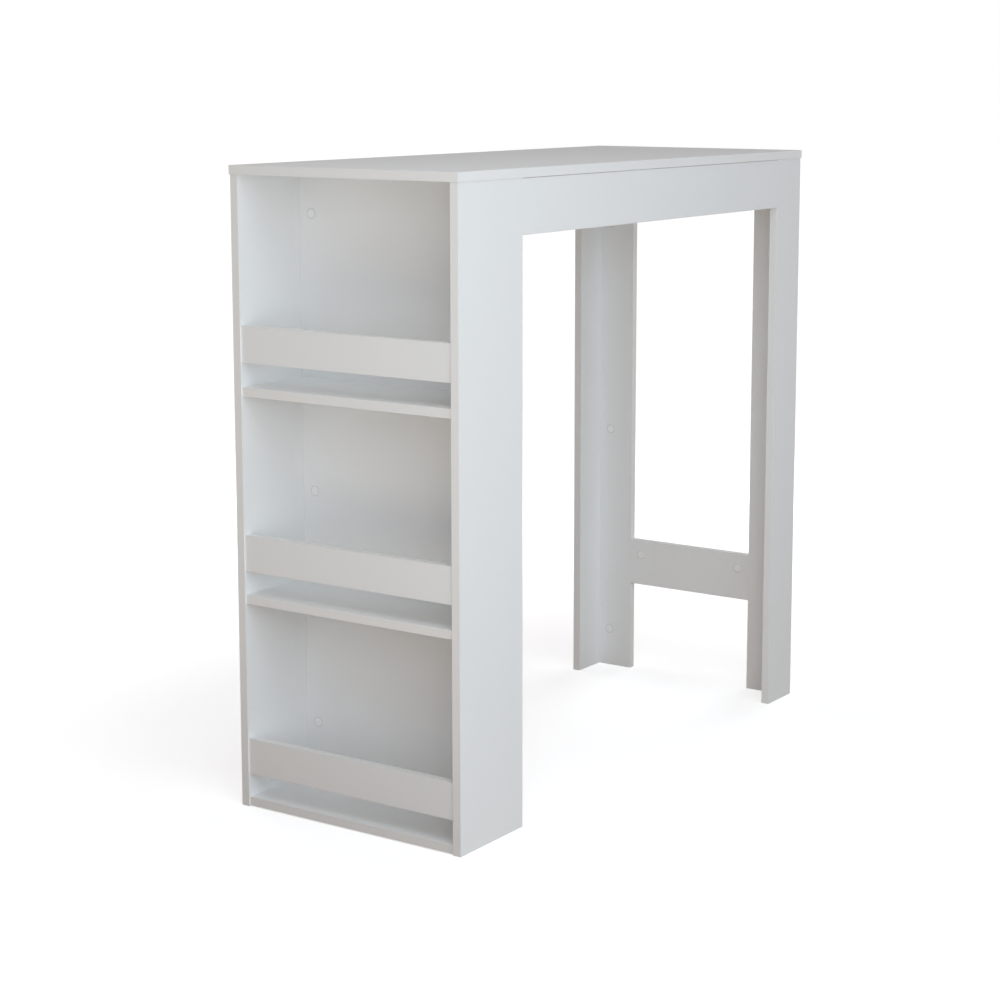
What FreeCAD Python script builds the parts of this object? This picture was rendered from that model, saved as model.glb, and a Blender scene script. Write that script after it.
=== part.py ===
"""Bar table with an open shelf unit at one end, as a parametric document.

The table is a flat-pack of straight white boards, held together by cam fittings and dowels.
Millimetres, +Z up. The origin is on the floor under the middle of the tabletop. The shelf unit
stands at -X, the two legs at +X, and the front long side faces -Y.
"""

import FreeCAD, Part

import os
import re
from collections import defaultdict
from typing import NamedTuple

import Sketcher

# Driving dimensions
SIZES = {
    # the whole table
    "total_height": 1050,
    "top_length": 1103,
    "top_width": 446,
    "top_overhang": 1.5,  # of the top past the boards under it, all round
    "board": 15,  # thickness of every board
    "edge_radius": 0.4,  # easing of the boards' edges
    # shelf unit
    "unit_depth": 170,
    "reveal": 2.5,  # shelves, rails and back panel stand in from the side panels' edges
    "shelf_floor_gap": 1.5,
    "shelf_pitch": 340.2,
    "rail_height": 60,
    "rail_lift": 39,  # open slot between a shelf and its guard rail
    # aprons
    "apron_height": 87.5,
    "apron_drop": 0.5,  # the fine gap between an apron and the top
    # legs and cross rail
    "leg_side_width": 90,
    "leg_end_width": 73,
    "cross_rail_height": 90,
    "cross_rail_lift": 176.5,
    # places of the fittings
    "cam_backset": 24,  # from the joint to the middle of the cam lock
    "fixing_spacing": 32,  # between a cam lock and the dowel beside it
    "back_fixing_low": 110,
    "back_fixing_step": 397,
    "back_fixing_top": 68,
    "shelf_fixing_inset": 50,
    "apron_fixing_inset": 20,
    "leg_fixing_low": 75,
    "leg_fixing_top": 136,
    "top_fixing_spread": 100,
    "top_dowel_inset": 45,
    # cam lock and its hole
    "cam_diameter": 14.8,
    "cam_floor": 2.5,  # board left under the cam lock's hole
    "cam_recess": 0.5,  # cam lock below the board's face
    "driver_length": 6.6,
    "driver_width": 1.8,
    "driver_depth": 2.6,
    # cam bolt
    "head_diameter": 6.8,
    "head_length": 3,
    "neck_diameter": 4.4,
    "shank_diameter": 6,
    "thread_diameter": 6,
    "thread_depth": 0.6,
    "thread_length": 10,
    "thread_pitch": 2,
    # cover cap
    "cap_diameter": 18,
    "cap_rim": 0.2,
    "cap_crown": 1.1,  # rise of the face from its rim to its middle
    # dowel
    "dowel_diameter": 8,
    "dowel_length": 30,
    "dowel_chamfer": 1,
    "dowel_face_depth": 10,
    "flute_diameter": 1,
    # room for the fittings in their holes
    "fit_clearance": 0.2,
    "end_clearance": 0.5,
}

# Planes and levels that several boards share, worked out from the driving dimensions
PLACES = {
    "unit_front": "-top_length / 2 + top_overhang",
    "unit_rear": "unit_front + unit_depth",
    "leg_end": "top_length / 2 - top_overhang",
    "leg_start": "leg_end - leg_side_width",
    "front_face": "-top_width / 2 + top_overhang",
    "front_inner": "front_face + board",
    "rear_face": "top_width / 2 - top_overhang",
    "rear_inner": "rear_face - board",
    "top_underside": "total_height - board",
    "shelf_front": "unit_front + reveal",
    "back_panel_front": "unit_rear - reveal - board",
    "clear_width": "rear_inner - front_inner",
    "apron_top": "top_underside - apron_drop",
    "cross_rail_start": "front_inner + leg_end_width",
    "cross_rail_end": "rear_inner - leg_end_width",
}

FLUTE_COUNT = 12

# The cap's crowned face is turned in bevels. It falls with this power of the distance from its middle.
CAP_BEVELS = 5
CAP_FALL_POWER = 4

AXES = "XYZ"
ORIGIN = ("0", "0")
PLANES = {"X": "YZ_Plane", "Y": "XZ_Plane", "Z": "XY_Plane"}

# Sketcher's own numbers: a sketch's root point and axes, and the points of a line, arc or circle
ROOT = (-1, 1)
LEVEL_AXIS, UPRIGHT_AXIS = -1, -2
START, END, CENTRE = 1, 2, 3

doc = FreeCAD.newDocument("bar_table")


# The two sheets

def bound(expression):
    """The expression with each name pointed at the sheet that holds it."""
    return re.sub(
        r"[a-z][a-z_]*",
        lambda name: f"{'sizes' if name.group() in SIZES else 'places'}.{name.group()}",
        expression,
    )


def fill_sheet(name, rows):
    """A spreadsheet with a label and a value on each row, the value under its label's alias."""
    sheet = doc.addObject("Spreadsheet::Sheet", name)
    for row, (alias, content) in enumerate(rows.items(), start=1):
        sheet.set(f"A{row}", alias)
        sheet.set(f"B{row}", content)
        sheet.setAlias(f"B{row}", alias)
    doc.recompute()
    return sheet


fill_sheet("sizes", {alias: str(number) for alias, number in SIZES.items()})
fill_sheet(
    "places",
    {alias: "=" + bound(formula).replace("places.", "") for alias, formula in PLACES.items()},
)


# Sketch helpers

def normal_sign(axis):
    """Which way along the axis a sketch across it faces: the XZ plane alone faces backwards."""
    return -1 if axis == "Y" else 1


def start_sketch(body, name, axis, offset="0"):
    """A sketch across the given axis of the body, at the given distance along it."""
    role = PLANES[axis]
    plane = next(feature for feature in body.Origin.OriginFeatures if feature.Role == role)
    sketch = body.newObject("Sketcher::SketchObject", name)
    sketch.AttachmentSupport = [(plane, "")]
    sketch.MapMode = "FlatFace"
    sketch.setExpression("AttachmentOffset.Base.z", f"{normal_sign(axis)} * ({bound(offset)})")
    return sketch


def number(sketch, expression):
    """The expression's value now, which puts new geometry close to its place."""
    return float(sketch.evalExpression(bound(expression)))


def tie(sketch, kind, *ends, to):
    """A dimension between two ends of the sketch, bound to an expression."""
    index = sketch.addConstraint(Sketcher.Constraint(kind, *ends, number(sketch, to)))
    sketch.renameConstraint(index, f"tie_{index}")
    sketch.setExpression(f"Constraints.tie_{index}", bound(to))


def place_point(sketch, point, across, up):
    """Ties a point of the sketch to a bound place. A place of "0" lies on the sketch's axis."""
    for place, kind, axis in ((across, "DistanceX", UPRIGHT_AXIS), (up, "DistanceY", LEVEL_AXIS)):
        if place == "0":
            sketch.addConstraint(Sketcher.Constraint("PointOnObject", *point, axis))
        else:
            tie(sketch, kind, *ROOT, *point, to=place)


def draw_circles(sketch, centres, diameter):
    """Circles of one diameter, each centre a pair of expressions."""
    first = None
    for centre in centres:
        at = FreeCAD.Vector(*[number(sketch, place) for place in centre], 0)
        radius = number(sketch, diameter) / 2
        circle = sketch.addGeometry(Part.Circle(at, FreeCAD.Vector(0, 0, 1), radius), False)
        place_point(sketch, (circle, CENTRE), *centre)
        if first is None:
            first = circle
            tie(sketch, "Diameter", circle, to=diameter)
        else:
            sketch.addConstraint(Sketcher.Constraint("Equal", first, circle))


def draw_outline(sketch, points):
    """A closed outline of straight lines through points, each a pair of expressions."""
    at = [FreeCAD.Vector(*[number(sketch, place) for place in point], 0) for point in points]
    count = len(points)
    for i in range(count):
        sketch.addGeometry(Part.LineSegment(at[i], at[(i + 1) % count]), False)
    for i, point in enumerate(points):
        sketch.addConstraint(Sketcher.Constraint("Coincident", (i - 1) % count, END, i, START))
        place_point(sketch, (i, START), *point)


def draw_rectangle(sketch, width, height):
    """A rectangle from the sketch's origin."""
    draw_outline(sketch, [ORIGIN, (width, "0"), (width, height), ("0", height)])


def draw_centred_rectangle(sketch, width, height):
    """A rectangle round the sketch's origin."""
    half_width, half_height = f"({width}) / 2", f"({height}) / 2"
    corners = [(-1, -1), (1, -1), (1, 1), (-1, 1)]
    draw_outline(sketch, [(f"{a} * {half_width}", f"{b} * {half_height}") for a, b in corners])


def extrude(body, kind, name, sketch, length, reverse=False):
    """A pad or pocket of the sketch."""
    feature = body.newObject(f"PartDesign::{kind}", name)
    feature.Profile = sketch
    feature.setExpression("Length", bound(length))
    feature.Reversed = reverse
    sketch.Visibility = False
    return feature


# Boards

class Board(NamedTuple):
    """A board: the axis across it, its low corner and its three sizes, as expressions."""

    across: str
    corner: tuple
    size: tuple


class Hole(NamedTuple):
    """A drilled hole: the way it goes in, such as "+Y", its mouth, diameter and depth."""

    way: str
    mouth: tuple
    diameter: str
    depth: str


BOARDS = {
    "tabletop": Board(
        "Z",
        ("-top_length / 2", "-top_width / 2", "top_underside"),
        ("top_length", "top_width", "board"),
    ),
    "back_panel": Board(
        "X",
        ("back_panel_front", "front_inner", "shelf_floor_gap"),
        ("board", "clear_width", "top_underside - shelf_floor_gap"),
    ),
    "cross_rail": Board(
        "X",
        ("leg_end - board", "cross_rail_start", "cross_rail_lift"),
        ("board", "cross_rail_end - cross_rail_start", "cross_rail_height"),
    ),
}

SHELF_LEVELS = {
    "bottom_shelf": "shelf_floor_gap",
    "middle_shelf": "shelf_floor_gap + shelf_pitch",
    "upper_shelf": "shelf_floor_gap + 2 * shelf_pitch",
}
for shelf, level in SHELF_LEVELS.items():
    BOARDS[shelf] = Board(
        "Z",
        ("shelf_front", "front_inner", level),
        ("back_panel_front - shelf_front", "clear_width", "board"),
    )

RAIL_LEVELS = {
    rail: f"{level} + board + rail_lift"
    for rail, level in zip(
        ("lower_guard_rail", "middle_guard_rail", "upper_guard_rail"), SHELF_LEVELS.values()
    )
}
for rail, level in RAIL_LEVELS.items():
    BOARDS[rail] = Board(
        "X", ("shelf_front", "front_inner", level), ("board", "clear_width", "rail_height")
    )


class Side(NamedTuple):
    """One long side of the table: where its boards lie and which way is in."""

    name: str
    low_face: str
    inner: str
    inward: str
    end_board_start: str
    cross_rail_joint: str


SIDES = (
    Side("front", "front_face", "front_inner", "+Y", "front_inner", "cross_rail_start"),
    Side("rear", "rear_inner", "rear_inner", "-Y", "cross_rail_end", "cross_rail_end"),
)
for side in SIDES:
    BOARDS[f"{side.name}_side_panel"] = Board(
        "Y", ("unit_front", side.low_face, "0"), ("unit_depth", "board", "top_underside")
    )
    BOARDS[f"{side.name}_apron"] = Board(
        "Y",
        ("unit_rear", side.low_face, "apron_top - apron_height"),
        ("leg_start - unit_rear", "board", "apron_height"),
    )
    BOARDS[f"{side.name}_leg_side_board"] = Board(
        "Y", ("leg_start", side.low_face, "0"), ("leg_side_width", "board", "top_underside")
    )
    BOARDS[f"{side.name}_leg_end_board"] = Board(
        "X",
        ("leg_end - board", side.end_board_start, "0"),
        ("board", "leg_end_width", "top_underside"),
    )


# Joints: each one drills its two boards and sets its fittings from the same places

holes = defaultdict(list)
fittings = defaultdict(list)


def opposite(way):
    """The other way along the same axis."""
    return ("-" if way[0] == "+" else "+") + way[1]


def shifted(place, way, distance):
    """The place moved by a distance."""
    moved = list(place)
    moved[AXES.index(way[1])] += f" {way[0]} ({distance})"
    return tuple(moved)


def cam_joint(family, cam_board, bolt_board, joint, inward, face):
    """A cam lock in one board pulls on a bolt in the other.

    joint is the bolt's place on the plane where the boards meet, inward leads from there into the
    cam lock's board, and face is the way that the cam lock's cap looks.
    """
    centre = shifted(shifted(joint, inward, "cam_backset"), face, "board / 2")
    holes[bolt_board].append(
        Hole(
            opposite(inward),
            joint,
            "thread_diameter + fit_clearance",
            "thread_length + end_clearance",
        )
    )
    holes[cam_board].append(Hole(inward, joint, "shank_diameter + fit_clearance", "cam_backset"))
    holes[cam_board].append(
        Hole(opposite(face), centre, "cam_diameter + fit_clearance", "board - cam_floor")
    )
    for kind in ("cam_locks", "cam_bolts", "cover_caps"):
        fittings[family, kind].append((centre, opposite(inward), face))


def dowel_joint(family, deep_board, shallow_board, joint, inward, shallow_depth):
    """A dowel across the plane where two boards meet; inward leads into the deep board."""
    holes[deep_board].append(
        Hole(
            inward,
            joint,
            "dowel_diameter + fit_clearance",
            f"dowel_length - {shallow_depth} + end_clearance",
        )
    )
    holes[shallow_board].append(
        Hole(
            opposite(inward),
            joint,
            "dowel_diameter + fit_clearance",
            f"{shallow_depth} + end_clearance",
        )
    )
    start = shifted(joint, opposite(inward), shallow_depth)
    upright = "+X" if inward[1] == "Z" else "+Z"
    fittings[family, "dowels"].append((start, inward, upright))


def between(low, high):
    """The level halfway between two levels."""
    return f"({low} + {high}) / 2"


HALF_DOWEL = "dowel_length / 2"
FACE_DEPTH = "dowel_face_depth"
back_middle = "back_panel_front + board / 2"
rail_middle = "shelf_front + board / 2"
end_middle = "leg_end - board / 2"
cross_rail_level = "cross_rail_lift + cross_rail_height / 2"
back_levels = (
    "back_fixing_low",
    "back_fixing_low + back_fixing_step",
    "top_underside - back_fixing_top",
)
leg_low, leg_high = "leg_fixing_low", "top_underside - leg_fixing_top"
leg_levels = (leg_low, between(leg_low, leg_high), leg_high)
apron_cam_level = "apron_top - apron_fixing_inset"

for side in SIDES:
    panel = f"{side.name}_side_panel"
    apron = f"{side.name}_apron"
    leg_side = f"{side.name}_leg_side_board"
    leg_end_board = f"{side.name}_leg_end_board"
    middle = f"{side.low_face} + board / 2"
    inner, inward = side.inner, side.inward

    for level in back_levels:
        cam_joint("back_panel", "back_panel", panel, (back_middle, inner, level), inward, "-X")
    for low, high in zip(back_levels, back_levels[1:]):
        place = (back_middle, inner, between(low, high))
        dowel_joint("back_panel", "back_panel", panel, place, inward, FACE_DEPTH)

    for shelf, level in SHELF_LEVELS.items():
        shelf_middle = f"{level} + board / 2"
        place = ("shelf_front + shelf_fixing_inset", inner, shelf_middle)
        cam_joint("shelf", shelf, panel, place, inward, "-Z")
        place = ("back_panel_front - shelf_fixing_inset", inner, shelf_middle)
        dowel_joint("shelf", shelf, panel, place, inward, FACE_DEPTH)

    for rail, level in RAIL_LEVELS.items():
        place = (rail_middle, inner, f"{level} + rail_height / 2 + fixing_spacing / 2")
        cam_joint("guard_rail", rail, panel, place, inward, "+X")
        place = (rail_middle, inner, f"{level} + rail_height / 2 - fixing_spacing / 2")
        dowel_joint("guard_rail", rail, panel, place, inward, FACE_DEPTH)

    for end, way, neighbour in (("unit_rear", "+X", panel), ("leg_start", "-X", leg_side)):
        place = (end, middle, apron_cam_level)
        cam_joint("apron", apron, neighbour, place, way, inward)
        place = (end, middle, f"{apron_cam_level} - fixing_spacing")
        dowel_joint("apron", apron, neighbour, place, way, HALF_DOWEL)

    for level in leg_levels:
        cam_joint("leg", leg_end_board, leg_side, (end_middle, inner, level), inward, "-X")
    for low, high in zip(leg_levels, leg_levels[1:]):
        place = (end_middle, inner, between(low, high))
        dowel_joint("leg", leg_end_board, leg_side, place, inward, FACE_DEPTH)

    place = (end_middle, side.cross_rail_joint, f"{cross_rail_level} + fixing_spacing / 2")
    cam_joint("cross_rail", "cross_rail", leg_end_board, place, inward, "-X")
    place = (end_middle, side.cross_rail_joint, f"{cross_rail_level} - fixing_spacing / 2")
    dowel_joint("cross_rail", "cross_rail", leg_end_board, place, inward, HALF_DOWEL)

    place = (back_middle, f"{opposite(inward)[0]} top_fixing_spread", "top_underside")
    cam_joint("tabletop", "back_panel", "tabletop", place, "-Z", "+X")
    place = ("leg_start + (leg_side_width - board) / 2", middle, "top_underside")
    cam_joint("tabletop", leg_side, "tabletop", place, "-Z", inward)
    for across in ("unit_front + top_dowel_inset", "unit_rear - top_dowel_inset"):
        dowel_joint("tabletop", panel, "tabletop", (across, middle, "top_underside"), "-Z", FACE_DEPTH)
    place = (end_middle, f"{side.end_board_start} + leg_end_width / 2", "top_underside")
    dowel_joint("tabletop", leg_end_board, "tabletop", place, "-Z", FACE_DEPTH)


# Building the boards

def build_board(label, board):
    """A padded board with eased edges, drilled hole pattern by hole pattern."""
    body = doc.addObject("PartDesign::Body", label)
    body.Label = label
    for axis, place in zip("xyz", board.corner):
        body.setExpression(f"Placement.Base.{axis}", bound(place))
    in_plane = [i for i in range(3) if i != AXES.index(board.across)]
    outline = start_sketch(body, f"{label}_outline", board.across)
    draw_rectangle(outline, *[board.size[i] for i in in_plane])
    upside_down = normal_sign(board.across) < 0
    pad = extrude(body, "Pad", f"{label}_pad", outline, "board", reverse=upside_down)
    doc.recompute()
    easing = body.newObject("PartDesign::Fillet", f"{label}_easing")
    easing.Base = (pad, ["Edge1"])
    easing.UseAllEdges = True
    easing.setExpression("Radius", bound("edge_radius"))
    doc.recompute()

    patterns = defaultdict(list)
    for hole in holes[label]:
        axis = hole.way[1]
        local = [f"{place} - ({start})" for place, start in zip(hole.mouth, board.corner)]
        depth_along = local.pop(AXES.index(axis))
        patterns[hole.way, depth_along, hole.diameter, hole.depth].append(local)
    for index, ((way, plane, diameter, depth), centres) in enumerate(patterns.items(), start=1):
        sign, axis = int(f"{way[0]}1"), way[1]
        sketch = start_sketch(body, f"{label}_holes_{index}", axis, plane)
        draw_circles(sketch, centres, diameter)
        along_normal = sign == normal_sign(axis)
        extrude(body, "Pocket", f"{label}_drilling_{index}", sketch, depth, reverse=along_normal)
    return body


# Fittings, each built once. Its origin is in the middle of the cam lock's hole, at the board's
# face, with +Z out of the face and +X towards the joint.

def build_cam_lock():
    """A die-cast housing with a cavity for the bolt's head, a slot for its neck and a cross recess."""
    body = doc.addObject("PartDesign::Body", "cam_lock")
    outline = start_sketch(body, "cam_outline", "Z", "cam_floor - board")
    draw_circles(outline, [ORIGIN], "cam_diameter")
    extrude(body, "Pad", "cam_pad", outline, "board - cam_floor - cam_recess")

    slot = start_sketch(body, "cam_neck_slot", "X")
    slot.setExpression("AttachmentOffset.Base.y", bound("-board / 2"))
    slot_width = "neck_diameter + 2 * fit_clearance"
    draw_centred_rectangle(slot, slot_width, slot_width)
    extrude(body, "Pocket", "cam_neck_pocket", slot, "cam_diameter", reverse=True)

    cavity = start_sketch(body, "cam_head_cavity", "X", "-head_length / 2 - fit_clearance")
    cavity.setExpression("AttachmentOffset.Base.y", bound("-board / 2"))
    draw_circles(cavity, [ORIGIN], "head_diameter + 2 * fit_clearance")
    length = "head_length + 2 * fit_clearance"
    extrude(body, "Pocket", "cam_head_pocket", cavity, length, reverse=True)

    for name, sizes in (
        ("along", ("driver_length", "driver_width")),
        ("across", ("driver_width", "driver_length")),
    ):
        recess = start_sketch(body, f"cam_driver_{name}", "Z", "-cam_recess")
        draw_centred_rectangle(recess, *sizes)
        extrude(body, "Pocket", f"cam_driver_pocket_{name}", recess, "driver_depth")
    return body


def build_cam_bolt():
    """A turned bolt: head, neck, shank and ridged end, its head in the middle of the cam lock."""
    body = doc.addObject("PartDesign::Body", "cam_bolt")
    profile = start_sketch(body, "bolt_profile", "Z", "-board / 2")
    profile.setExpression("AttachmentOffset.Base.x", bound("-head_length / 2"))
    neck_end = "head_length / 2 + cam_diameter / 2"
    joint = "head_length / 2 + cam_backset"
    root, crest = "thread_diameter / 2 - thread_depth", "thread_diameter / 2"
    outline = [
        ORIGIN,
        ("0", "head_diameter / 2"),
        ("head_length", "head_diameter / 2"),
        ("head_length", "neck_diameter / 2"),
        (neck_end, "neck_diameter / 2"),
        (f"{neck_end} + fit_clearance", "shank_diameter / 2"),
        (joint, "shank_diameter / 2"),
        (joint, root),
    ]
    ridges = int(SIZES["thread_length"] // SIZES["thread_pitch"])
    for ridge in range(ridges):
        outline.append((f"{joint} + {ridge + 0.5} * thread_pitch", crest))
        outline.append((f"{joint} + {ridge + 1} * thread_pitch", root))
    outline.append((f"{joint} + {ridges} * thread_pitch", "0"))
    draw_outline(profile, outline)
    turning = body.newObject("PartDesign::Revolution", "bolt_turning")
    turning.Profile = profile
    turning.ReferenceAxis = (profile, ["H_Axis"])
    turning.Angle = 360
    return body


def build_cover_cap():
    """A moulded disc with a crowned face, and a cross stem that presses into the cam lock."""
    body = doc.addObject("PartDesign::Body", "cover_cap")
    profile = start_sketch(body, "cap_profile", "Y")
    outline = [ORIGIN, ("cap_diameter / 2", "0")]
    for ring in range(CAP_BEVELS, 0, -1):
        out = ring / CAP_BEVELS
        outline.append((f"{out} * cap_diameter / 2", f"cap_rim + {1 - out**CAP_FALL_POWER} * cap_crown"))
    outline.append(("0", "cap_rim + cap_crown"))
    draw_outline(profile, outline)
    turning = body.newObject("PartDesign::Revolution", "cap_turning")
    turning.Profile = profile
    turning.ReferenceAxis = (profile, ["V_Axis"])
    turning.Angle = 360
    long_side, short_side = "driver_length - fit_clearance", "driver_width - fit_clearance"
    for name, sizes in (
        ("along", (long_side, short_side)),
        ("across", (short_side, long_side)),
    ):
        stem = start_sketch(body, f"cap_stem_{name}", "Z")
        draw_centred_rectangle(stem, *sizes)
        length = "cam_recess + driver_depth - fit_clearance"
        extrude(body, "Pad", f"cap_stem_pad_{name}", stem, length, reverse=True)
    return body


def build_dowel():
    """A fluted dowel with chamfered ends, from its shallow end along +X."""
    body = doc.addObject("PartDesign::Body", "dowel")
    outline = start_sketch(body, "dowel_outline", "X")
    draw_circles(outline, [ORIGIN], "dowel_diameter")
    pad = extrude(body, "Pad", "dowel_pad", outline, "dowel_length")
    doc.recompute()
    ends = [
        f"Edge{i}"
        for i, edge in enumerate(pad.Shape.Edges, start=1)
        if edge.BoundBox.XLength < edge.BoundBox.YLength
    ]
    chamfer = body.newObject("PartDesign::Chamfer", "dowel_ends")
    chamfer.Base = (pad, ends)
    chamfer.setExpression("Size", bound("dowel_chamfer"))
    doc.recompute()
    flute = start_sketch(body, "dowel_flute", "X")
    draw_circles(flute, [("0", "dowel_diameter / 2")], "flute_diameter")
    groove = extrude(body, "Pocket", "dowel_groove", flute, "dowel_length", reverse=True)
    doc.recompute()
    flutes = body.newObject("PartDesign::PolarPattern", "dowel_flutes")
    flutes.Originals = [groove]
    flutes.Axis = (outline, ["N_Axis"])
    flutes.Angle = 360
    flutes.Occurrences = FLUTE_COUNT
    body.Tip = flutes
    return body


def direction(way):
    """The unit vector of a way such as "-Z"."""
    vector = [0, 0, 0]
    vector[AXES.index(way[1])] = int(f"{way[0]}1")
    return FreeCAD.Vector(*vector)


def build_group(label, pattern, places):
    """Copies of one fitting at every place of a joint family, as separate solids of one node."""
    copies = []
    for index, (origin, x_way, z_way) in enumerate(places, start=1):
        x_axis, z_axis = direction(x_way), direction(z_way)
        turn = FreeCAD.Rotation(x_axis, z_axis.cross(x_axis), z_axis, "ZXY")
        copy = doc.addObject("App::Link", f"{label}_{index}")
        copy.LinkedObject = pattern
        copy.Placement = FreeCAD.Placement(FreeCAD.Vector(), turn)
        for axis, place in zip("xyz", origin):
            copy.setExpression(f"Placement.Base.{axis}", bound(place))
        copies.append(copy)
    group = doc.addObject("Part::Compound", label)
    group.Label = label
    group.Links = copies
    return group


sub_parts = [build_board(label, board) for label, board in BOARDS.items()]
patterns_of = {
    "cam_locks": build_cam_lock(),
    "cam_bolts": build_cam_bolt(),
    "cover_caps": build_cover_cap(),
    "dowels": build_dowel(),
}
doc.recompute()
for (family, kind), places in fittings.items():
    sub_parts.append(build_group(f"{family}_{kind}", patterns_of[kind], places))
doc.recompute()


# Checks before anything is written

for item in doc.Objects:
    if {"Invalid", "Error"} & set(item.State):
        raise RuntimeError(f"{item.Label} failed to build: {item.State}")
    if item.TypeId == "PartDesign::Pocket":
        if item.Shape.Volume >= item.BaseFeature.Shape.Volume:
            raise RuntimeError(f"{item.Label} cuts nothing")
for item in sub_parts:
    if item.Shape.isNull() or not item.Shape.isValid():
        raise RuntimeError(f"{item.Label} has no valid shape")
    wanted = len(item.Links) if item.TypeId == "Part::Compound" else 1
    if len(item.Shape.Solids) != wanted:
        raise RuntimeError(f"{item.Label} has {len(item.Shape.Solids)} solids, not {wanted}")

os.makedirs("parts", exist_ok=True)
for item in sub_parts:
    item.Shape.exportStep(f"parts/{item.Label}.step")
print(f"{len(sub_parts)} nodes, {sum(len(item.Shape.Solids) for item in sub_parts)} solids")
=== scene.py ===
"""Looks of a white bar table with an open shelf unit at one end.

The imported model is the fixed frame: its boards and fittings keep their shape and place, and get
their finishes here. A pale floor, soft studio lights and the camera stand round them. Metres, +Z
up, with the shelf unit at -X and the front long side at -Y.
"""

import logging
import math
from abc import ABC, abstractmethod
from collections.abc import Iterable
from dataclasses import dataclass, field
from enum import Enum

import bmesh
import bpy
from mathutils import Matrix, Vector


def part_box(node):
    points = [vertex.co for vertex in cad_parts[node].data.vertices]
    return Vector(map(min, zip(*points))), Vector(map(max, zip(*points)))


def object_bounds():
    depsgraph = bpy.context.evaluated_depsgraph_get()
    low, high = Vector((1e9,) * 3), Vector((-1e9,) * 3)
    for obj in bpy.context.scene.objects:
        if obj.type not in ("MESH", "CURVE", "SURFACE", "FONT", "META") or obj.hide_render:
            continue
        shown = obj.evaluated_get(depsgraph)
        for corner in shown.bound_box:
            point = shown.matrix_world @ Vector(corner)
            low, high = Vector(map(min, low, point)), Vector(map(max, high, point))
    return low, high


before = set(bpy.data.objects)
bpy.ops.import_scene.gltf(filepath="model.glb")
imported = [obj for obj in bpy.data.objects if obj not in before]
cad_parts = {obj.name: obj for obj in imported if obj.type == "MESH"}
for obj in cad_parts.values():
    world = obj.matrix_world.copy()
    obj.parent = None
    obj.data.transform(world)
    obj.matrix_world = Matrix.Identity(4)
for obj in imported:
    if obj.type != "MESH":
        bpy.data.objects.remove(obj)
CAD_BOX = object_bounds()

LOG = logging.getLogger("bar_table")
MILLIMETRE = 0.001

# The sRGB curve: a straight foot for the darkest values, then a power
SRGB_FOOT, SRGB_FOOT_SLOPE = 0.04045, 12.92
SRGB_OFFSET, SRGB_POWER = 0.055, 2.4
BRIGHTEST_BYTE = 255

# Sockets of the Mix node, which has a set of its own for each kind of data
MIX_FACTOR, MIX_FLOAT_A, MIX_FLOAT_B, MIX_COLOUR_A, MIX_COLOUR_B = 0, 2, 3, 6, 7
MIX_FLOAT_RESULT, MIX_COLOUR_RESULT = 0, 2

Socket = bpy.types.NodeSocket
Colour = tuple[float, float, float, float]

WHITE: Colour = (1.0, 1.0, 1.0, 1.0)
UP = Vector((0, 0, 1))


def linear(hex_colour: str) -> Colour:
    """Turns an sRGB hex value into linear light.

    Args:
        hex_colour: the colour, such as "#E8EAEA".

    Returns:
        Red, green, blue and an alpha of 1.
    """
    channels = []
    for start in (1, 3, 5):
        encoded = int(hex_colour[start:start + 2], 16) / BRIGHTEST_BYTE
        if encoded <= SRGB_FOOT:
            channels.append(encoded / SRGB_FOOT_SLOPE)
        else:
            channels.append(((encoded + SRGB_OFFSET) / (1 + SRGB_OFFSET)) ** SRGB_POWER)
    return (*channels, 1.0)


def scale_of(size_mm: float) -> float:
    """The texture scale at which one feature of a pattern measures the given size."""
    return 1 / (size_mm * MILLIMETRE)


def add_node(tree: bpy.types.NodeTree, kind: str, inputs: dict | None = None, **settings) -> bpy.types.Node:
    """Adds a node with its settings and links.

    Args:
        tree: the node tree that gets the node.
        kind: the node's type.
        inputs: by name or number of the input, a value for it or the output that feeds it.
        settings: the node's own properties.

    Returns:
        The new node.
    """
    node = tree.nodes.new(kind)
    for name, value in settings.items():
        setattr(node, name, value)
    for key, value in (inputs or {}).items():
        if isinstance(value, Socket):
            tree.links.new(value, node.inputs[key])
        else:
            node.inputs[key].default_value = value
    return node


def new_material(name: str) -> tuple[bpy.types.Material, bpy.types.NodeTree]:
    """A material with an empty node tree.

    Args:
        name: what the material is called.

    Returns:
        The material and its tree.
    """
    material = bpy.data.materials.new(name)
    material.use_nodes = True
    material.node_tree.nodes.clear()
    return material, material.node_tree


# Boards

class Axis(Enum):
    """An axis of the table: X along its length, Y along its width and Z up."""

    X = 0
    Y = 1
    Z = 2


class End(Enum):
    """An end of an axis."""

    LOW = "low"
    HIGH = "high"


class Side(Enum):
    """A side of a board, named by where it looks: the axis across it and the end of that axis."""

    SHELF_END = (Axis.X, End.LOW)
    LEG_END = (Axis.X, End.HIGH)
    FRONT = (Axis.Y, End.LOW)
    REAR = (Axis.Y, End.HIGH)
    BELOW = (Axis.Z, End.LOW)
    ABOVE = (Axis.Z, End.HIGH)

    @property
    def axis(self) -> Axis:
        """The axis across the side."""
        return self.value[0]

    @property
    def end(self) -> End:
        """The end of the axis that the side looks to."""
        return self.value[1]


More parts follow.
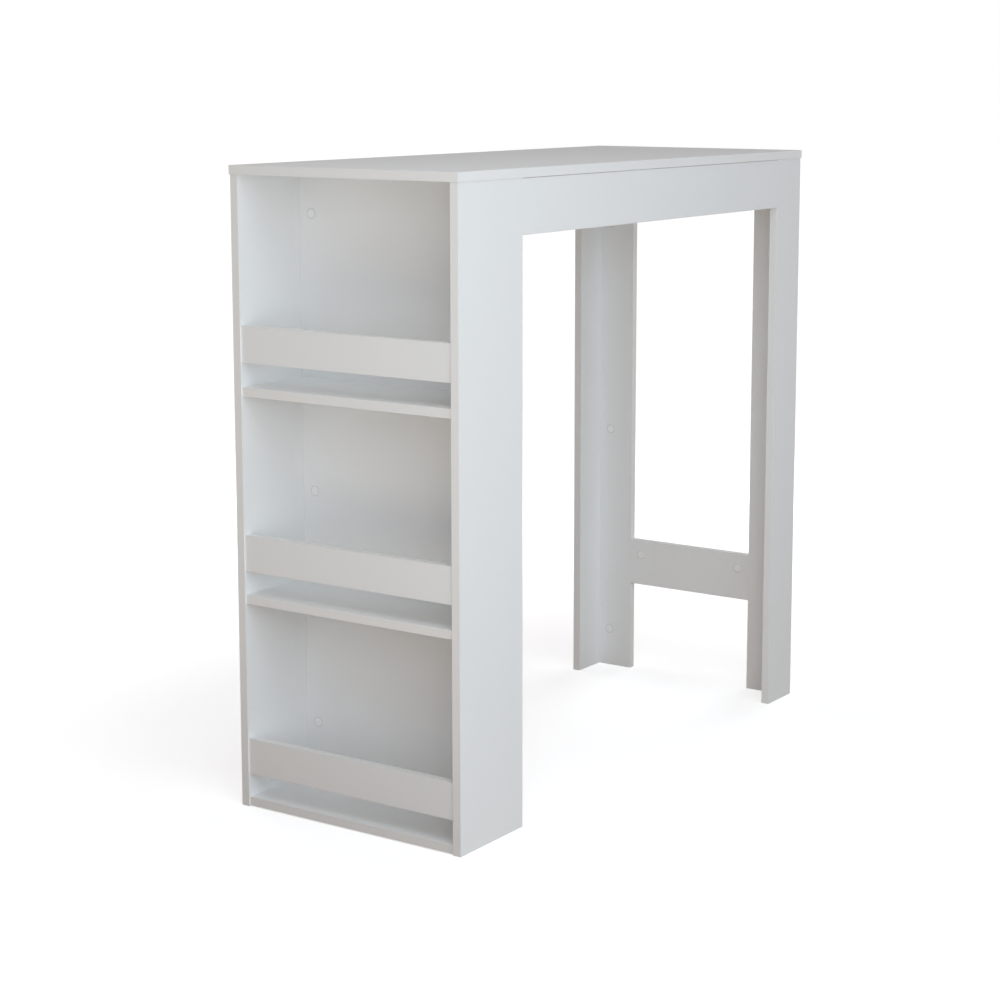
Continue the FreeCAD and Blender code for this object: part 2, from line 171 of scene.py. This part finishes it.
@dataclass(frozen=True)
class Board:
    """One board of the table.

    Attributes:
        node: the board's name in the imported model.
        bare: the narrow sides that have no edging, because they meet another board or the floor.
    """

    node: str
    bare: frozenset[Side]

    @property
    def box(self) -> tuple[Vector, Vector]:
        """The board's lowest and highest corner."""
        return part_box(self.node)

    @property
    def edged(self) -> list[Side]:
        """The narrow sides that have edging: those that aren't bare and don't look along the thickness.

        Returns:
            The sides.
        """
        low, high = self.box
        size = high - low
        thickness = min(Axis, key=lambda axis: size[axis.value])
        return [side for side in Side if side.axis is not thickness and side not in self.bare]

    def depths(self, tree: bpy.types.NodeTree, place: Socket) -> dict[Side, Socket]:
        """How far a point lies inside the board from each of its sides.

        Args:
            tree: the material's tree.
            place: the point in the table's frame.

        Returns:
            By side, the depth in metres.
        """
        low, high = self.box
        past_low = add_node(tree, "ShaderNodeVectorMath", {0: place, 1: low}, operation="SUBTRACT")
        past_high = add_node(tree, "ShaderNodeVectorMath", {0: high, 1: place}, operation="SUBTRACT")
        parts = {
            end: add_node(tree, "ShaderNodeSeparateXYZ", {0: node.outputs[0]}).outputs
            for end, node in ((End.LOW, past_low), (End.HIGH, past_high))
        }
        return {side: parts[side.end][side.axis.value] for side in Side}


@dataclass(frozen=True)
class MelamineFacedChipboard:
    """White melamine-faced chipboard with ABS edging.

    Each face is decor paper soaked in melamine resin and pressed onto chipboard against a steel
    plate with a fine pearl grain: satin white, hardly uneven. The edging is extruded, so it is a
    little smoother and warmer, and a hairline of glue shows where it meets the face. Chips of wood
    show on bare narrow sides and in drilled holes.
    """

    face: str = "#F2F3F3"
    face_clouds: str = "#F0F1F1"
    edging: str = "#F0F0EF"
    glue: str = "#DEDDDA"
    pale_chip: str = "#D9C39C"
    dark_chip: str = "#A98759"
    ior: float = 1.5
    shine: float = 0.35
    face_roughness: float = 0.62
    edging_roughness: float = 0.5
    chip_roughness: float = 0.9
    cloud_mm: float = 160
    cloud_detail: float = 2
    # The real grain is about 0.4 mm, too fine to show, so it is drawn four times as coarse
    grain_mm: float = 1.6
    grain_detail: float = 1
    grain_depth_mm: float = 0.012
    # The real edging is 0.4 mm thick, too thin to show, so it is drawn twice as thick
    edging_mm: float = 0.8
    glue_mm: float = 0.25
    chip_mm: float = 2.5
    chip_depth_mm: float = 0.15
    # Slack when a point is tested for lying on a flat narrow side, or inside a drilled hole
    flat_mm: float = 0.05
    hole_mm: float = 0.6

    def dress(self, board: Board) -> None:
        """Gives the board a material fitted to its own box.

        Args:
            board: the board.
        """
        material, tree = new_material(f"melamine_faced_chipboard_{board.node}")
        place = add_node(tree, "ShaderNodeTexCoord").outputs["Object"]
        depths = board.depths(tree, place)
        edge = self.least(tree, [depths[side] for side in board.edged])
        on_edging, past_glue = (
            add_node(
                tree, "ShaderNodeMath", {0: edge, 1: limit_mm * MILLIMETRE}, operation="LESS_THAN"
            ).outputs[0]
            for limit_mm in (self.edging_mm, self.edging_mm + self.glue_mm)
        )
        chips_show = self.chips_show(tree, board, depths)
        chip = add_node(
            tree,
            "ShaderNodeTexVoronoi",
            {"Vector": place, "Scale": scale_of(self.chip_mm)},
            distance="CHEBYCHEV",
        )
        colour = self.colour(tree, place, on_edging, past_glue, chips_show, chip.outputs["Color"])
        shader = add_node(
            tree,
            "ShaderNodeBsdfPrincipled",
            {
                "Base Color": colour,
                "Roughness": self.roughness(tree, on_edging, chips_show),
                "IOR": self.ior,
                "Specular IOR Level": self.shine,
                "Normal": self.relief(tree, place, chips_show, chip.outputs["Distance"]),
            },
        )
        add_node(tree, "ShaderNodeOutputMaterial", {"Surface": shader.outputs["BSDF"]})
        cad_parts[board.node].material_slots[0].material = material
        LOG.info("%s: melamine-faced chipboard, edging on %d sides", board.node, len(board.edged))

    @staticmethod
    def least(tree: bpy.types.NodeTree, depths: Iterable[Socket]) -> Socket:
        """The least of several depths.

        Args:
            tree: the material's tree.
            depths: the depths.

        Returns:
            The least one.
        """
        least, *others = depths
        for other in others:
            least = add_node(tree, "ShaderNodeMath", {0: least, 1: other}, operation="MINIMUM").outputs[0]
        return least

    def chips_show(self, tree: bpy.types.NodeTree, board: Board, depths: dict[Side, Socket]) -> Socket:
        """A mask of the bare narrow sides and the walls of drilled holes.

        Args:
            tree: the material's tree.
            board: the board.
            depths: how far a point lies inside from each side.

        Returns:
            The mask.
        """
        inside = self.least(tree, depths.values())
        in_hole = add_node(
            tree, "ShaderNodeMath", {0: inside, 1: self.hole_mm * MILLIMETRE}, operation="GREATER_THAN"
        ).outputs[0]
        if not board.bare:
            return in_hole
        bare = self.least(tree, [depths[side] for side in Side if side in board.bare])
        on_bare = add_node(
            tree, "ShaderNodeMath", {0: bare, 1: self.flat_mm * MILLIMETRE}, operation="LESS_THAN"
        ).outputs[0]
        return add_node(tree, "ShaderNodeMath", {0: in_hole, 1: on_bare}, operation="MAXIMUM").outputs[0]

    def colour(
        self,
        tree: bpy.types.NodeTree,
        place: Socket,
        on_edging: Socket,
        past_glue: Socket,
        chips_show: Socket,
        chip_tone: Socket,
    ) -> Socket:
        """The board's colour: clouded white face, glue line, edging and chips.

        Args:
            tree: the material's tree.
            place: the point in the table's frame.
            on_edging: mask of the edging.
            past_glue: mask of the edging and the glue line.
            chips_show: mask of the bare chipboard.
            chip_tone: a tone of its own for each chip.

        Returns:
            The colour.
        """
        clouds = add_node(
            tree,
            "ShaderNodeTexNoise",
            {"Vector": place, "Scale": scale_of(self.cloud_mm), "Detail": self.cloud_detail},
        )
        chips = add_node(
            tree,
            "ShaderNodeMix",
            {
                MIX_FACTOR: chip_tone,
                MIX_COLOUR_A: linear(self.pale_chip),
                MIX_COLOUR_B: linear(self.dark_chip),
            },
            data_type="RGBA",
        ).outputs[MIX_COLOUR_RESULT]
        colour = linear(self.face)
        for mask, over in (
            (clouds.outputs["Fac"], linear(self.face_clouds)),
            (past_glue, linear(self.glue)),
            (on_edging, linear(self.edging)),
            (chips_show, chips),
        ):
            colour = add_node(
                tree,
                "ShaderNodeMix",
                {MIX_FACTOR: mask, MIX_COLOUR_A: colour, MIX_COLOUR_B: over},
                data_type="RGBA",
            ).outputs[MIX_COLOUR_RESULT]
        return colour

    def roughness(self, tree: bpy.types.NodeTree, on_edging: Socket, chips_show: Socket) -> Socket:
        """The board's roughness: satin face, smoother edging and dull chips.

        Args:
            tree: the material's tree.
            on_edging: mask of the edging.
            chips_show: mask of the bare chipboard.

        Returns:
            The roughness.
        """
        roughness = self.face_roughness
        for mask, over in ((on_edging, self.edging_roughness), (chips_show, self.chip_roughness)):
            roughness = add_node(
                tree,
                "ShaderNodeMix",
                {MIX_FACTOR: mask, MIX_FLOAT_A: roughness, MIX_FLOAT_B: over},
            ).outputs[MIX_FLOAT_RESULT]
        return roughness

    def relief(
        self, tree: bpy.types.NodeTree, place: Socket, chips_show: Socket, chip_height: Socket
    ) -> Socket:
        """The board's unevenness: the pearl grain of the face, and the chips where they show.

        Args:
            tree: the material's tree.
            place: the point in the table's frame.
            chips_show: mask of the bare chipboard.
            chip_height: how far each chip stands out.

        Returns:
            The normal.
        """
        grain = add_node(
            tree,
            "ShaderNodeTexNoise",
            {"Vector": place, "Scale": scale_of(self.grain_mm), "Detail": self.grain_detail},
        )
        pearl = add_node(
            tree,
            "ShaderNodeBump",
            {"Height": grain.outputs["Fac"], "Distance": self.grain_depth_mm * MILLIMETRE},
        )
        chips = add_node(
            tree,
            "ShaderNodeBump",
            {
                "Strength": chips_show,
                "Height": chip_height,
                "Distance": self.chip_depth_mm * MILLIMETRE,
                "Normal": pearl.outputs["Normal"],
            },
        )
        return chips.outputs["Normal"]


# Fittings

@dataclass(frozen=True)
class MouldedPolythene:
    """White polythene, injection moulded: soft satin with a faint spark-eroded grain.

    The steep edge of a cap, where it meets the board, is drawn a little darker: a fine grey line of painted
    shade.
    """

    colour: str = "#F6F7F7"
    # Painted shade: a darker tone for the cap's steep edge, a fine shadow line where it meets the board
    painted_edge_shade: str = "#E0E0DE"
    roughness: float = 0.35
    ior: float = 1.5
    shine: float = 0.4
    # The real grain is about 0.2 mm, too fine to show, so it is drawn four times as coarse
    grain_mm: float = 0.8
    grain_detail: float = 1
    grain_depth_mm: float = 0.01
    # How squarely a face looks along one axis: 1 on a cap's flat crown, and less than this on its edge
    steep: float = 0.96

    def material(self) -> bpy.types.Material:
        """Makes the material.

        Returns:
            The material.
        """
        material, tree = new_material("moulded_white_polythene")
        place = add_node(tree, "ShaderNodeTexCoord").outputs["Object"]
        grain = add_node(
            tree,
            "ShaderNodeTexNoise",
            {"Vector": place, "Scale": scale_of(self.grain_mm), "Detail": self.grain_detail},
        )
        relief = add_node(
            tree,
            "ShaderNodeBump",
            {"Height": grain.outputs["Fac"], "Distance": self.grain_depth_mm * MILLIMETRE},
        )
        # Painted shade: the steep edge gets the darker tone, as a shadow line round the cap
        colour = add_node(
            tree,
            "ShaderNodeMix",
            {
                MIX_FACTOR: self.on_edge(tree),
                MIX_COLOUR_A: linear(self.colour),
                MIX_COLOUR_B: linear(self.painted_edge_shade),
            },
            data_type="RGBA",
        )
        shader = add_node(
            tree,
            "ShaderNodeBsdfPrincipled",
            {
                "Base Color": colour.outputs[MIX_COLOUR_RESULT],
                "Roughness": self.roughness,
                "IOR": self.ior,
                "Specular IOR Level": self.shine,
                "Normal": relief.outputs["Normal"],
            },
        )
        add_node(tree, "ShaderNodeOutputMaterial", {"Surface": shader.outputs["BSDF"]})
        return material

    def on_edge(self, tree: bpy.types.NodeTree) -> Socket:
        """A mask of the steep edge.

        Args:
            tree: the material's tree.

        Returns:
            The mask.
        """
        facing = add_node(tree, "ShaderNodeNewGeometry").outputs["True Normal"]
        shares = add_node(tree, "ShaderNodeVectorMath", {0: facing}, operation="ABSOLUTE").outputs[0]
        greatest, *others = add_node(tree, "ShaderNodeSeparateXYZ", {0: shares}).outputs
        for other in others:
            greatest = add_node(
                tree, "ShaderNodeMath", {0: greatest, 1: other}, operation="MAXIMUM"
            ).outputs[0]
        return add_node(
            tree, "ShaderNodeMath", {0: greatest, 1: self.steep}, operation="LESS_THAN"
        ).outputs[0]


@dataclass(frozen=True)
class BareMetal:
    """A bare metal whose tone and gloss vary with its surface.

    Attributes:
        name: what the metal is and how it was made.
        pale: its brighter tone.
        dark: its darker tone.
        roughness: its least and greatest roughness.
        patch_mm: size of the patches of tone.
        relief_mm: depth of its unevenness.
        patch_detail: how broken the patches' outlines are.
    """

    name: str
    pale: str
    dark: str
    roughness: tuple[float, float]
    patch_mm: float
    relief_mm: float
    patch_detail: float = 3

    def material(self) -> bpy.types.Material:
        """Makes the material.

        Returns:
            The material.
        """
        material, tree = new_material(self.name)
        place = add_node(tree, "ShaderNodeTexCoord").outputs["Object"]
        patches = add_node(
            tree,
            "ShaderNodeTexNoise",
            {"Vector": place, "Scale": scale_of(self.patch_mm), "Detail": self.patch_detail},
        ).outputs["Fac"]
        colour = add_node(
            tree,
            "ShaderNodeMix",
            {MIX_FACTOR: patches, MIX_COLOUR_A: linear(self.pale), MIX_COLOUR_B: linear(self.dark)},
            data_type="RGBA",
        )
        least, greatest = self.roughness
        roughness = add_node(
            tree, "ShaderNodeMix", {MIX_FACTOR: patches, MIX_FLOAT_A: least, MIX_FLOAT_B: greatest}
        )
        relief = add_node(
            tree, "ShaderNodeBump", {"Height": patches, "Distance": self.relief_mm * MILLIMETRE}
        )
        shader = add_node(
            tree,
            "ShaderNodeBsdfPrincipled",
            {
                "Base Color": colour.outputs[MIX_COLOUR_RESULT],
                "Metallic": 1.0,
                "Roughness": roughness.outputs[MIX_FLOAT_RESULT],
                "Normal": relief.outputs["Normal"],
            },
        )
        add_node(tree, "ShaderNodeOutputMaterial", {"Surface": shader.outputs["BSDF"]})
        return material


@dataclass(frozen=True)
class TurnedBeech:
    """Beech, turned and fluted: pale pinkish brown with short dark flecks along the grain.

    Attributes:
        grain: the axis that the dowel lies along.
    """

    grain: Axis
    wood: str = "#D8B48C"
    fleck: str = "#A9794E"
    roughness: float = 0.6
    ior: float = 1.5
    fleck_mm: float = 0.5
    fleck_length_mm: float = 4
    fleck_detail: float = 2
    fleck_share: float = 0.62
    fleck_edge: float = 0.08

    def material(self) -> bpy.types.Material:
        """Makes the material.

        Returns:
            The material.
        """
        material, tree = new_material(f"turned_beech_along_{self.grain.name.lower()}")
        place = add_node(tree, "ShaderNodeTexCoord").outputs["Object"]
        stretch = [scale_of(self.fleck_mm) for _ in Axis]
        stretch[self.grain.value] = scale_of(self.fleck_length_mm)
        along = add_node(tree, "ShaderNodeVectorMath", {0: place, 1: stretch}, operation="MULTIPLY")
        # The stretch holds the flecks' size, so the noise keeps a scale of 1
        fibres = add_node(
            tree,
            "ShaderNodeTexNoise",
            {"Vector": along.outputs[0], "Scale": 1.0, "Detail": self.fleck_detail},
        )
        flecks = add_node(
            tree,
            "ShaderNodeMapRange",
            {
                "Value": fibres.outputs["Fac"],
                "From Min": self.fleck_share - self.fleck_edge,
                "From Max": self.fleck_share + self.fleck_edge,
            },
        )
        colour = add_node(
            tree,
            "ShaderNodeMix",
            {
                MIX_FACTOR: flecks.outputs["Result"],
                MIX_COLOUR_A: linear(self.wood),
                MIX_COLOUR_B: linear(self.fleck),
            },
            data_type="RGBA",
        )
        shader = add_node(
            tree,
            "ShaderNodeBsdfPrincipled",
            {
                "Base Color": colour.outputs[MIX_COLOUR_RESULT],
                "Roughness": self.roughness,
                "IOR": self.ior,
            },
        )
        add_node(tree, "ShaderNodeOutputMaterial", {"Surface": shader.outputs["BSDF"]})
        return material


# Cast in a steel die: dull grey with cloudy patches
DIE_CAST_ZINC = BareMetal(
    name="die_cast_zinc",
    pale="#B9BBBD",
    dark="#9C9EA1",
    roughness=(0.35, 0.55),
    patch_mm=2,
    relief_mm=0.02,
)
# Plated in a zinc bath: brighter and smoother, with a faint bluish bloom
ZINC_PLATED_STEEL = BareMetal(
    name="zinc_plated_steel",
    pale="#CBCDCB",
    dark="#B4B8BC",
    roughness=(0.22, 0.38),
    patch_mm=3,
    relief_mm=0.005,
)


# Sub-assemblies

@dataclass
class BoardAssembly(ABC):
    """A sub-assembly of boards.

    Attributes:
        finish: what its boards are made of.
    """

    finish: MelamineFacedChipboard

    @abstractmethod
    def boards(self) -> list[Board]:
        """The boards with their bare sides."""

    def dress(self) -> None:
        """Gives each board its finish."""
        for board in self.boards():
            self.finish.dress(board)


@dataclass
class ShelfUnit(BoardAssembly):
    """The open unit at the shelf end: two side panels, a back panel, shelves and guard rails."""

    shelves: tuple[str, ...] = ("bottom", "middle", "upper")
    rails: tuple[str, ...] = ("lower", "middle", "upper")

    def boards(self) -> list[Board]:
        """The unit's boards with their bare sides.

        Returns:
            The boards.
        """
        ends = {Side.FRONT, Side.REAR}
        boards = [
            Board(f"{side}_side_panel", frozenset({Side.BELOW, Side.ABOVE})) for side in ("front", "rear")
        ]
        boards.append(Board("back_panel", frozenset({*ends, Side.ABOVE})))
        boards += [Board(f"{shelf}_shelf", frozenset({*ends, Side.LEG_END})) for shelf in self.shelves]
        boards += [Board(f"{rail}_guard_rail", frozenset(ends)) for rail in self.rails]
        return boards


@dataclass
class TopFrame(BoardAssembly):
    """The tabletop and the two aprons under it."""

    def boards(self) -> list[Board]:
        """The top's boards with their bare sides."""
        ends = frozenset({Side.SHELF_END, Side.LEG_END})
        return [Board("tabletop", frozenset()), Board("front_apron", ends), Board("rear_apron", ends)]


@dataclass
class LegFrame(BoardAssembly):
    """The two legs of two boards each, and the cross rail between them."""

    def boards(self) -> list[Board]:
        """The legs' boards with their bare sides.

        Returns:
            The boards.
        """
        ends = {Side.BELOW, Side.ABOVE}
        boards = []
        for side, outer in (("front", Side.FRONT), ("rear", Side.REAR)):
            boards.append(Board(f"{side}_leg_side_board", frozenset(ends)))
            boards.append(Board(f"{side}_leg_end_board", frozenset({*ends, outer})))
        boards.append(Board("cross_rail", frozenset({Side.FRONT, Side.REAR})))
        return boards


@dataclass
class Fittings:
    """Cam locks, cam bolts, cover caps and dowels of every family of joints.

    Attributes:
        dowel_axes: by family of joints, the axis that its dowels lie along.
    """

    dowel_axes: dict[str, Axis] = field(
        default_factory=lambda: {
            "back_panel": Axis.Y,
            "shelf": Axis.Y,
            "guard_rail": Axis.Y,
            "apron": Axis.X,
            "leg": Axis.Y,
            "cross_rail": Axis.Y,
            "tabletop": Axis.Z,
        }
    )

    def dress(self) -> None:
        """Gives each group of fittings its finish."""
        finishes = {
            "cam_locks": DIE_CAST_ZINC.material(),
            "cam_bolts": ZINC_PLATED_STEEL.material(),
            "cover_caps": MouldedPolythene().material(),
        }
        beech = {axis: TurnedBeech(axis).material() for axis in Axis}
        for family, axis in self.dowel_axes.items():
            for kind, material in (*finishes.items(), ("dowels", beech[axis])):
                node = f"{family}_{kind}"
                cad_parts[node].material_slots[0].material = material
                LOG.info("%s: %s", node, material.name)


# Studio

@dataclass(frozen=True, kw_only=True)
class LightPanel(ABC):
    """A square area light.

    Attributes:
        name: what the light is called.
        azimuth: where it is round the table, in degrees from the front towards the shelf end.
        distance: how far from the table's middle, in metres.
        size: length of its sides, in metres.
        power: in watts.
        colour: of its light.
    """

    name: str
    azimuth: float
    distance: float = 3.0
    size: float
    power: float
    colour: str

    @abstractmethod
    def build(self, middle: Vector) -> None:
        """Puts the light in its place round the table's middle."""

    def outward(self) -> Vector:
        """The level direction from the table to the light."""
        around = math.radians(self.azimuth)
        return Vector((-math.sin(around), -math.cos(around), 0))

    def hang(self, place: Vector, facing: Vector) -> None:
        """Adds the light.

        Args:
            place: where its middle goes.
            facing: the direction that it shines in.
        """
        lamp = bpy.data.lights.new(self.name, "AREA")
        lamp.shape = "SQUARE"
        lamp.size = self.size
        lamp.energy = self.power
        lamp.color = linear(self.colour)[:3]
        stand = bpy.data.objects.new(self.name, lamp)
        stand.location = place
        stand.rotation_euler = facing.to_track_quat("-Z", "Y").to_euler()
        stand.visible_camera = False
        bpy.context.scene.collection.objects.link(stand)
        LOG.info("%s: light panel of %.1f m", self.name, self.size)


@dataclass(frozen=True, kw_only=True)
class Softbox(LightPanel):
    """A light on a stand that looks at the middle of the table.

    Attributes:
        elevation: how high it stands, in degrees.
    """

    elevation: float

    def build(self, middle: Vector) -> None:
        """Hangs the light so that it looks at the table's middle.

        Args:
            middle: the table's middle.
        """
        up = math.radians(self.elevation)
        back = self.outward() * math.cos(up) + UP * math.sin(up)
        self.hang(middle + back * self.distance, -back)


@dataclass(frozen=True, kw_only=True)
class FloorReflector(LightPanel):
    """A panel that lies on the floor and throws light up, under the shelves and the top.

    Attributes:
        lift: its height over the floor, in metres.
    """

    lift: float = 0.02

    def build(self, middle: Vector) -> None:
        """Lays the light on the floor, beside the table."""
        ground = Vector((middle.x, middle.y, CAD_BOX[0].z + self.lift))
        self.hang(ground + self.outward() * self.distance, UP)


@dataclass(frozen=True)
class Studio:
    """A pale floor, a white backdrop and soft lights."""

    lights: tuple[LightPanel, ...] = (
        Softbox(name="window_softbox", azimuth=15, elevation=10, size=1.8, power=25.6, colour="#DDF1FF"),
        Softbox(name="front_softbox", azimuth=52, elevation=10, size=1.8, power=24.6, colour="#F0F7FF"),
        Softbox(name="top_softbox", azimuth=52, elevation=50, size=1.8, power=19.0, colour="#E7F8FF"),
        Softbox(name="leg_end_softbox", azimuth=-90, elevation=4, size=1.4, power=28.0, colour="#EEF7FF"),
        Softbox(name="rear_softbox", azimuth=-165, elevation=4, size=1.4, power=29.0, colour="#EFF7FF"),
        FloorReflector(
            name="floor_reflector", azimuth=92, distance=2.2, size=1.8, power=9.0, colour="#FFFFF5"
        ),
    )
    ambient: str = "#FFEEE8"
    ambient_strength: float = 0.279
    floor_radius: float = 30
    floor_sides: int = 64
    floor_shown: str = "#E7E7E7"
    floor_bounce: str = "#AA9781"
    # Painted shade as well: the weaker glow darkens the floor round the table even where no shadow falls
    # The glow is weaker near the table, so that its shadow stays: strengths, and distances in metres
    floor_glow: tuple[float, float] = (0.52, 0.86)
    floor_fade: tuple[float, float] = (0.7, 2.2)

    def build(self) -> None:
        """Adds floor, backdrop and lights."""
        low, high = CAD_BOX
        middle = (low + high) / 2
        for light in self.lights:
            light.build(middle)
        self.light_world()
        self.lay_floor(Vector((middle.x, middle.y, low.z)))

    @staticmethod
    def sees_backdrop(tree: bpy.types.NodeTree) -> Socket:
        """A mask that is 1 for rays that show the backdrop: from the camera, or through gloss and glass.

        Args:
            tree: the tree that gets the mask.

        Returns:
            The mask.
        """
        path = add_node(tree, "ShaderNodeLightPath")
        mask = path.outputs["Is Camera Ray"]
        for ray in ("Is Glossy Ray", "Is Transmission Ray"):
            mask = add_node(
                tree, "ShaderNodeMath", {0: mask, 1: path.outputs[ray]}, operation="MAXIMUM"
            ).outputs[0]
        return mask

    def light_world(self) -> None:
        """A backdrop that is white to look at and gives an even, weaker light."""
        world = bpy.data.worlds.new("studio_backdrop")
        world.use_nodes = True
        tree = world.node_tree
        tree.nodes.clear()
        even = add_node(
            tree,
            "ShaderNodeBackground",
            {"Color": linear(self.ambient), "Strength": self.ambient_strength},
        )
        white = add_node(tree, "ShaderNodeBackground", {"Color": WHITE, "Strength": 1.0})
        shown = add_node(
            tree,
            "ShaderNodeMixShader",
            {0: self.sees_backdrop(tree), 1: even.outputs[0], 2: white.outputs[0]},
        )
        add_node(tree, "ShaderNodeOutputWorld", {"Surface": shown.outputs[0]})
        bpy.context.scene.world = world

    def floor_material(self) -> bpy.types.Material:
        """A pale floor that looks white, keeps the table's soft shadow, is darker round it by painted
        shade, and throws back warm light.

        Returns:
            The material.
        """
        material, tree = new_material("pale_studio_floor")
        shown = self.sees_backdrop(tree)
        tone = add_node(
            tree,
            "ShaderNodeMix",
            {
                MIX_FACTOR: shown,
                MIX_COLOUR_A: linear(self.floor_bounce),
                MIX_COLOUR_B: linear(self.floor_shown),
            },
            data_type="RGBA",
        )
        matt = add_node(tree, "ShaderNodeBsdfDiffuse", {"Color": tone.outputs[MIX_COLOUR_RESULT]})
        place = add_node(tree, "ShaderNodeTexCoord").outputs["Object"]
        away = add_node(tree, "ShaderNodeVectorMath", {0: place}, operation="LENGTH")
        (near, far), (weak, strong) = self.floor_fade, self.floor_glow
        # Painted shade: the glow fades in towards the table, so the floor near it is darker besides its
        # real shadow
        strength = add_node(
            tree,
            "ShaderNodeMapRange",
            {
                "Value": away.outputs["Value"],
                "From Min": near,
                "From Max": far,
                "To Min": weak,
                "To Max": strong,
            },
        )
        glow = add_node(tree, "ShaderNodeMath", {0: shown, 1: strength.outputs[0]}, operation="MULTIPLY")
        white = add_node(tree, "ShaderNodeEmission", {"Color": WHITE, "Strength": glow.outputs[0]})
        both = add_node(tree, "ShaderNodeAddShader", {0: matt.outputs[0], 1: white.outputs[0]})
        add_node(tree, "ShaderNodeOutputMaterial", {"Surface": both.outputs[0]})
        return material

    def lay_floor(self, centre: Vector) -> None:
        """Adds the round floor.

        Args:
            centre: the point under the middle of the table.
        """
        shape = bmesh.new()
        bmesh.ops.create_circle(shape, cap_ends=True, segments=self.floor_sides, radius=self.floor_radius)
        mesh = bpy.data.meshes.new("studio_floor")
        shape.to_mesh(mesh)
        shape.free()
        mesh.materials.append(self.floor_material())
        floor = bpy.data.objects.new("studio_floor", mesh)
        floor.location = centre
        bpy.context.scene.collection.objects.link(floor)
        LOG.info("studio_floor: %.0f m across", 2 * self.floor_radius)


@dataclass(frozen=True)
class StudioCamera:
    """The camera, in front of the shelf end and a little above the tabletop.

    Attributes:
        place_mm: where it stands.
        yaw: where it looks, in degrees from the table's length towards its rear.
        pitch: how far down it looks, in degrees.
        lens_mm: focal length on the sensor.
        sensor_mm: width of the sensor.
        shift: of the picture, as a share of its width.
    """

    place_mm: tuple[float, float, float] = (-3197.9, -2123.2, 1196.5)
    yaw: float = 34.19
    pitch: float = 8.97
    lens_mm: float = 79.63
    sensor_mm: float = 36
    shift: tuple[float, float] = (-0.016, -0.08)

    def build(self) -> None:
        """Adds the camera and makes it the scene's own."""
        lens = bpy.data.cameras.new("studio_camera")
        lens.lens = self.lens_mm
        lens.sensor_width = self.sensor_mm
        lens.shift_x, lens.shift_y = self.shift
        camera = bpy.data.objects.new("studio_camera", lens)
        camera.location = Vector(self.place_mm) * MILLIMETRE
        around, down = math.radians(self.yaw), math.radians(self.pitch)
        ahead = Vector(
            (math.cos(around) * math.cos(down), math.sin(around) * math.cos(down), -math.sin(down))
        )
        camera.rotation_euler = ahead.to_track_quat("-Z", "Y").to_euler()
        bpy.context.scene.collection.objects.link(camera)
        bpy.context.scene.camera = camera


def main() -> None:
    """Dresses the table and sets it in the studio."""
    logging.basicConfig(level=logging.INFO)
    bpy.context.scene.view_settings.view_transform = "Standard"
    board = MelamineFacedChipboard()
    for assembly in (ShelfUnit(board), TopFrame(board), LegFrame(board), Fittings()):
        assembly.dress()
    Studio().build()
    StudioCamera().build()


if __name__ == "__main__":
    main()
